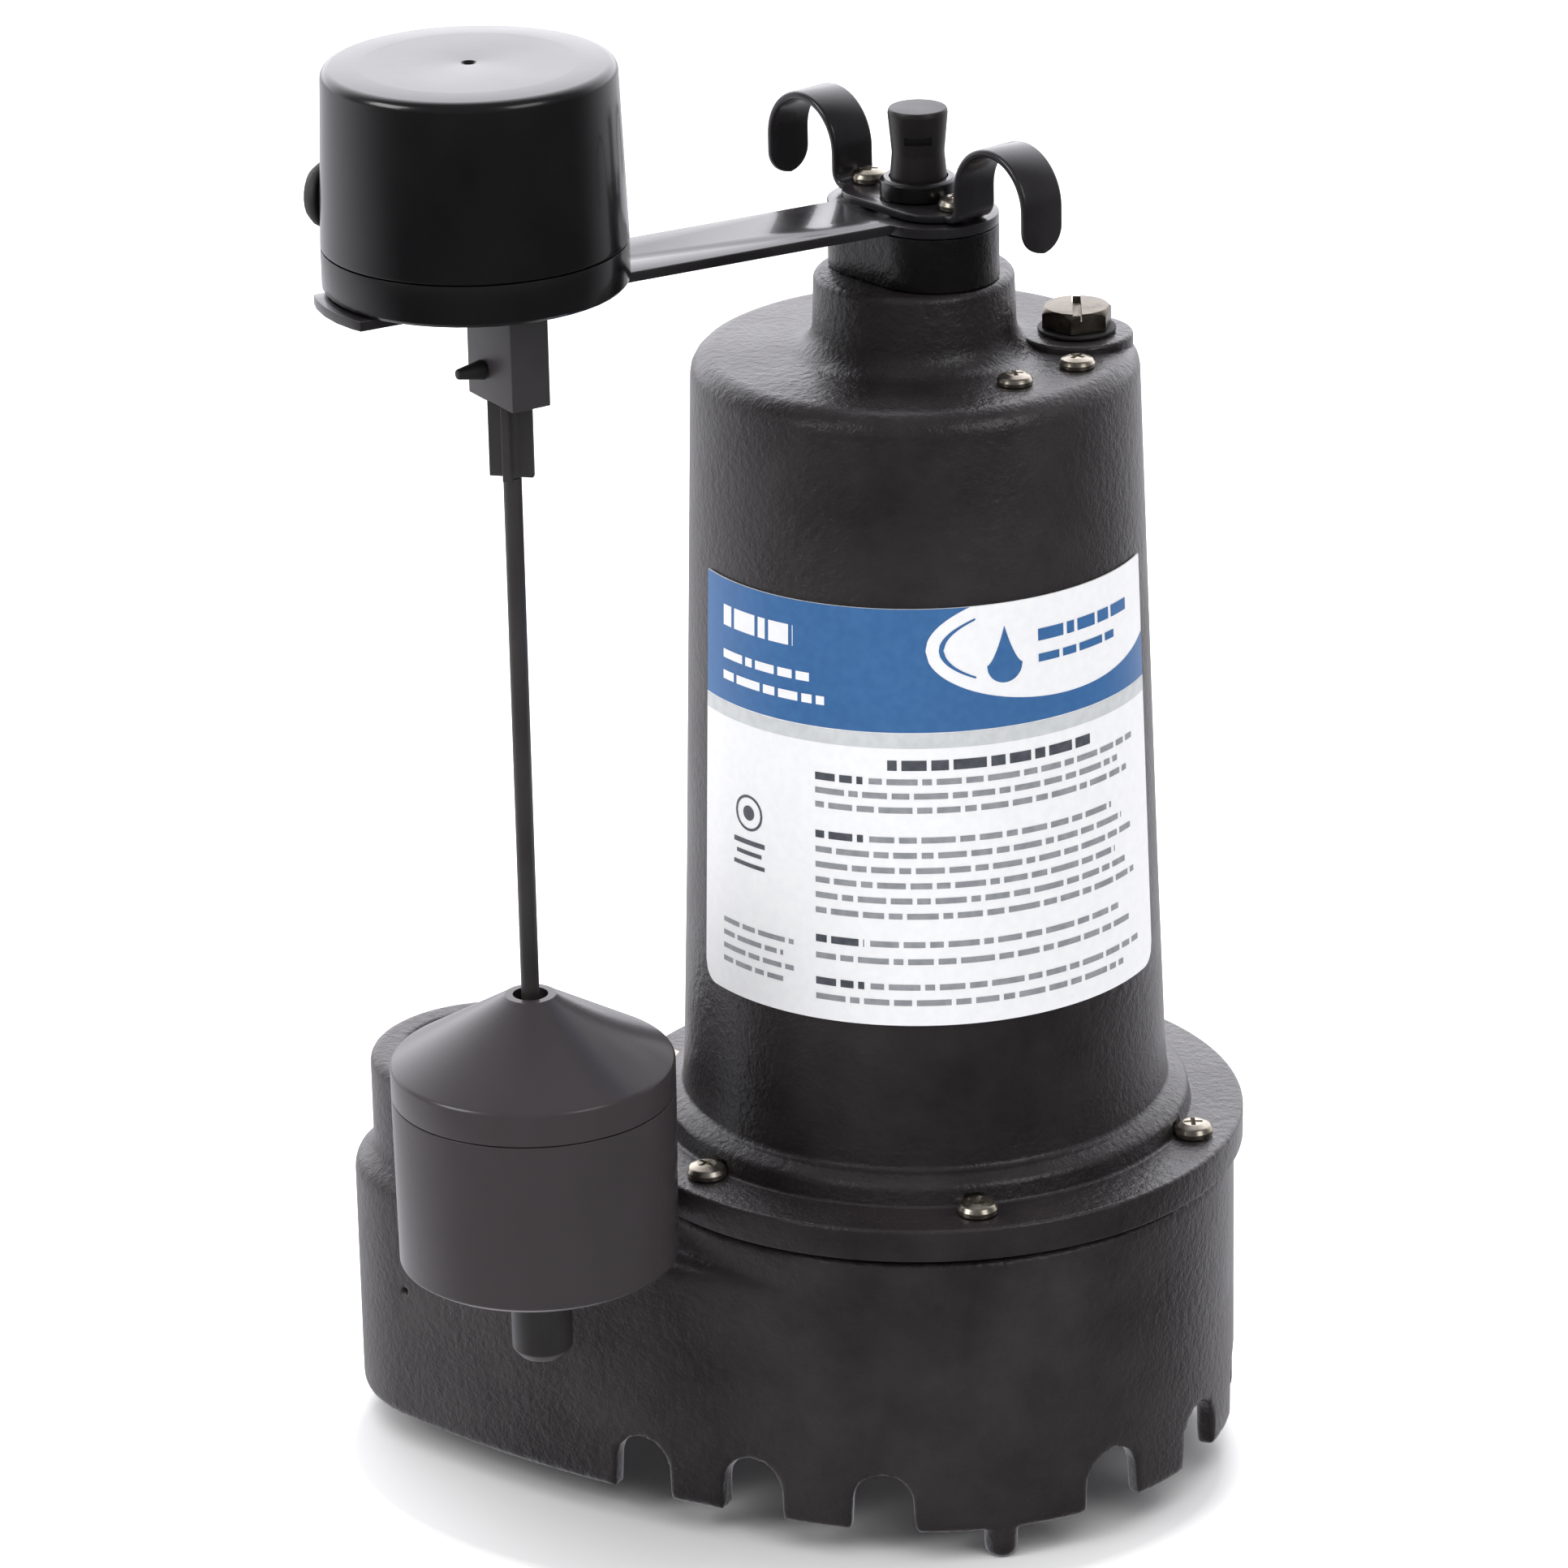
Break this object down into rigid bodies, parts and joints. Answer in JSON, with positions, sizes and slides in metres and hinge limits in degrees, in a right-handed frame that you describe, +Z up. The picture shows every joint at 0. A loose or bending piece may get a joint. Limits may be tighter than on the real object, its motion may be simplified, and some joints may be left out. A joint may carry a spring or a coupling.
{
  "type": "submersible sump pump with vertical float switch",
  "caption": "Submersible sump pump: cast motor housing on a volute base with side discharge boss, ram's-horn handle and an outrigger float switch.",
  "frame": {"origin": "bottom centre of the whole assembly's box, on the plane of the feet", "axes": "+Z up along the motor shaft; -X towards the discharge boss; -Y the side that carries the float switch"},
  "size_m": [0.2274, 0.1992, 0.379],
  "materials": {
    "cast_paint": "black enamel over a fine sand-cast texture",
    "strap_paint": "gloss black enamel",
    "gloss_plastic": "moulded gloss black",
    "float_plastic": "satin dark grey",
    "rod_plastic": "satin black",
    "rubber": "matt black",
    "zinc": "bright zinc plate",
    "steel": "ground steel",
    "copper": "enamelled copper winding",
    "aluminium": "satin",
    "ceramic": "polished ceramic and carbon seal faces",
    "label": "printed film, blue band over white"
  },
  "bodies": {
    "pump": {"capacitor": "aluminium", "capacitor_clamp": "steel", "carry_handle": "strap_paint", "cord_cap": "cast_paint", "cord_connector": "rod_plastic", "cord_gland": "rubber", "crown_screw_1": "zinc", "crown_screw_2": "zinc", "flange_screw_1": "zinc", "flange_screw_2": "zinc", "flange_screw_3": "zinc", "flange_screw_4": "zinc", "flange_screw_5": "zinc", "flange_screw_6": "zinc", "gland_nut": "rod_plastic", "guide_stem": "float_plastic", "guide_stem_pin": "rubber", "lever_pin": "steel", "lower_bearing_outer": "steel", "motor_housing": "cast_paint", "oil_plug": "zinc", "oil_plug_washer": "rubber", "rating_label": "label", "seal_plate": "cast_paint", "shaft_seal_seat": "ceramic", "snap_switch": "rod_plastic", "stator_core": "steel", "stator_winding_lower": "copper", "stator_winding_upper": "copper", "strap_screw_1": "zinc", "strap_screw_2": "zinc", "switch_base": "gloss_plastic", "switch_bracket": "strap_paint", "switch_cap": "gloss_plastic", "switch_cord_grommet": "rubber", "switch_mount_screw_1": "zinc", "switch_mount_screw_2": "zinc", "thermal_protector": "rod_plastic", "upper_bearing_outer": "steel", "volute_base": "cast_paint", "volute_gasket": "rubber"},
    "rotor": {"motor_shaft": "steel", "rotor_core": "steel", "lower_bearing_inner": "steel", "upper_bearing_inner": "steel", "shaft_seal_ring": "ceramic", "shaft_seal_bellows": "rubber", "impeller_nut": "steel", "impeller": "rod_plastic"},
    "rod": {"rod_coupler": "rod_plastic", "float_rod": "rod_plastic", "rod_end_stop": "rod_plastic"},
    "float": {"float_lower_shell": "float_plastic", "float_upper_shell": "float_plastic"},
    "lever": {"switch_lever": "steel"},
    "button": {"snap_switch_button": "rubber"}
  },
  "joints": [
    {"name": "motor_spin", "type": "hinge", "parent": "pump", "child": "rotor", "pos_m": [0.03385, 0.01977, 0.15], "axis": [0, 0, 1], "continuous": true},
    {"name": "rod_slide", "type": "slide", "parent": "pump", "child": "rod", "axis": [0, 0, 1], "range_m": [0, 0.005]},
    {"name": "float_slide", "type": "slide", "parent": "rod", "child": "float", "axis": [0, 0, 1], "range_m": [0, 0.131]},
    {"name": "lever_pivot", "type": "hinge", "parent": "pump", "child": "lever", "pos_m": [-0.0609, -0.05046, 0.332], "axis": [-0.7314, -0.682, 0], "range_deg": [0, 14.4]},
    {"name": "button_press", "type": "slide", "parent": "pump", "child": "button", "axis": [0, 0, 1], "range_m": [0, 0.0019]}
  ],
  "couplings": [
    {"joint": "lever_pivot", "follows": "rod_slide", "rad_per_m": 50},
    {"joint": "button_press", "follows": "rod_slide", "ratio": 0.36}
  ]
}
